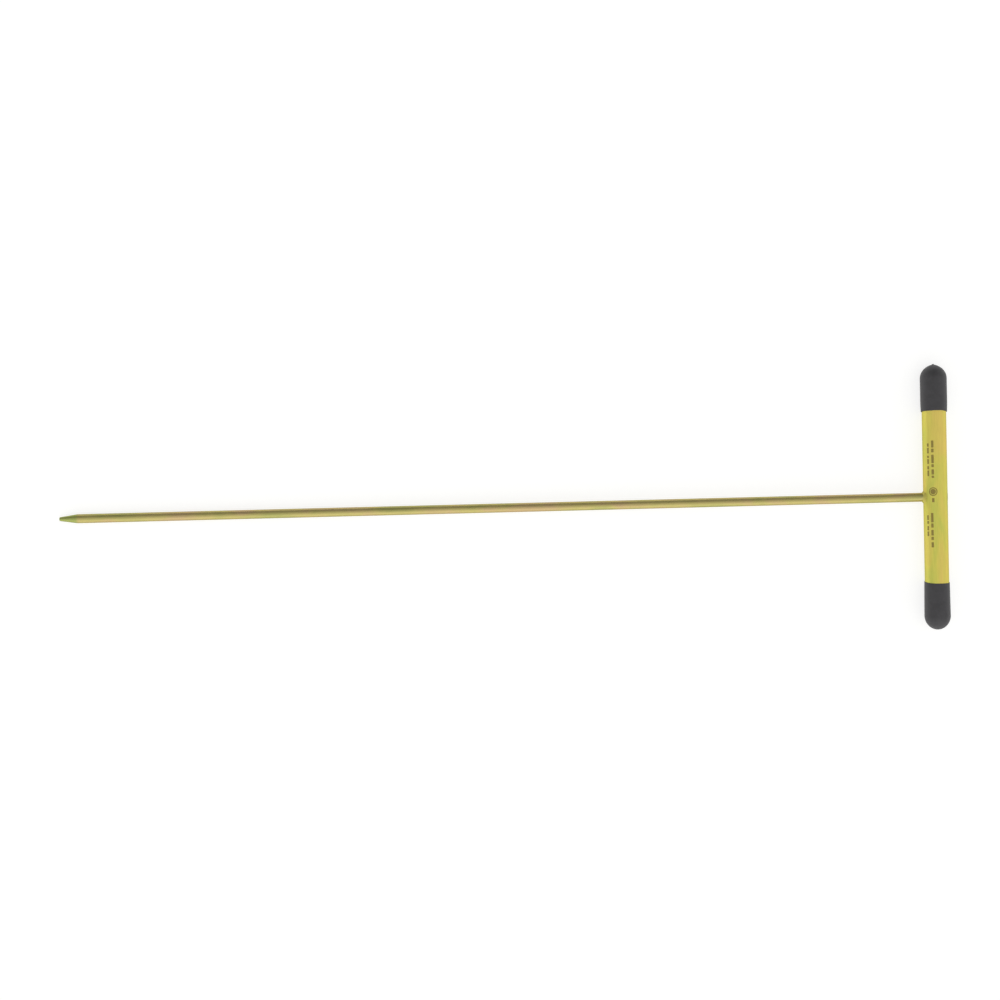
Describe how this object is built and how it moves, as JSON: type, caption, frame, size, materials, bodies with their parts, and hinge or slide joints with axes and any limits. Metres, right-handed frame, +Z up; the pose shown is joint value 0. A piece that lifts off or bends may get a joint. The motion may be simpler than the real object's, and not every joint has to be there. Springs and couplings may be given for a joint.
{
  "type": "t-handled probe rod",
  "caption": "Pointed steel probe rod welded through the middle of a tube T-handle with soft vinyl end caps, pushed by hand into grain, seed bags or soil.",
  "frame": {"origin": "crossing of the rod's axis and the handle's axis, inside the middle of the handle tube", "axes": "tool lying flat: +X along the rod from its point towards the handle, +Y along the handle to its right-hand end as seen from behind the handle, +Z up"},
  "size_m": [0.9411, 0.2824, 0.028],
  "materials": {
    "plated_tube": "yellow chromated zinc plate",
    "plated_bar": "yellow chromated zinc plate over drawn bar",
    "plated_weld": "yellow chromated zinc plate over weld metal",
    "vinyl": "matte dip-moulded vinyl"
  },
  "bodies": {
    "probe": {"handle_tube": "plated_tube", "probe_rod": "plated_bar", "rod_fillet_weld": "plated_weld", "rod_plug_weld": "plated_weld"},
    "right_cap": {"right_end_cap": "vinyl"},
    "left_cap": {"left_end_cap": "vinyl"}
  },
  "joints": [
    {"name": "right_cap_pull_off", "type": "slide", "parent": "probe", "child": "right_cap", "axis": [0, 1, 0], "range_m": [0, 0.045]},
    {"name": "left_cap_pull_off", "type": "slide", "parent": "probe", "child": "left_cap", "axis": [0, -1, 0], "range_m": [0, 0.045]}
  ]
}
